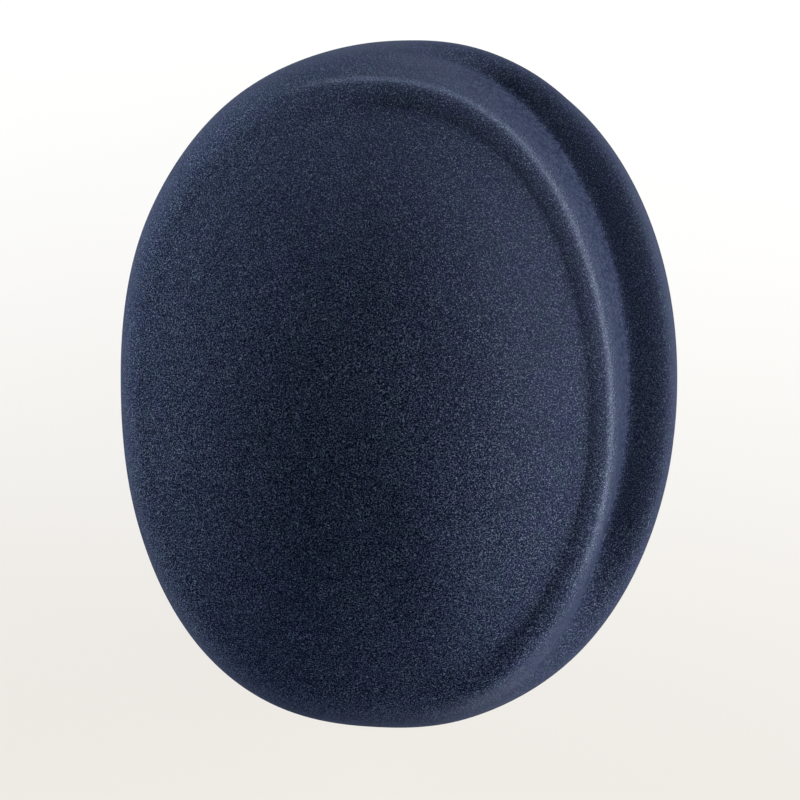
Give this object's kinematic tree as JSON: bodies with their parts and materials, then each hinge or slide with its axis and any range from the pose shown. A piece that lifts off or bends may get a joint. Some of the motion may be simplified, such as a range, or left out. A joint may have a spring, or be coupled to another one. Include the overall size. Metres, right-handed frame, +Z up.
{
  "type": "pillbox hat",
  "caption": "Blocked felt pillbox hat with an oval band, a side ledge below an upright crown wall, a rounded ridge round the tip and a domed top, open below.",
  "frame": {"origin": "middle of the head opening, in the plane of the rim, which is the surface that the hat rests on", "axes": "+Z up through the tip, -Y towards the front, +X towards the side with the ledge, which is the wearer's left"},
  "size_m": [0.1671, 0.2069, 0.087],
  "materials": {
    "navy_felt": "brushed wool felt, matt with a soft nap"
  },
  "bodies": {
    "root": {"felt_body": "navy_felt"}
  },
  "joints": []
}
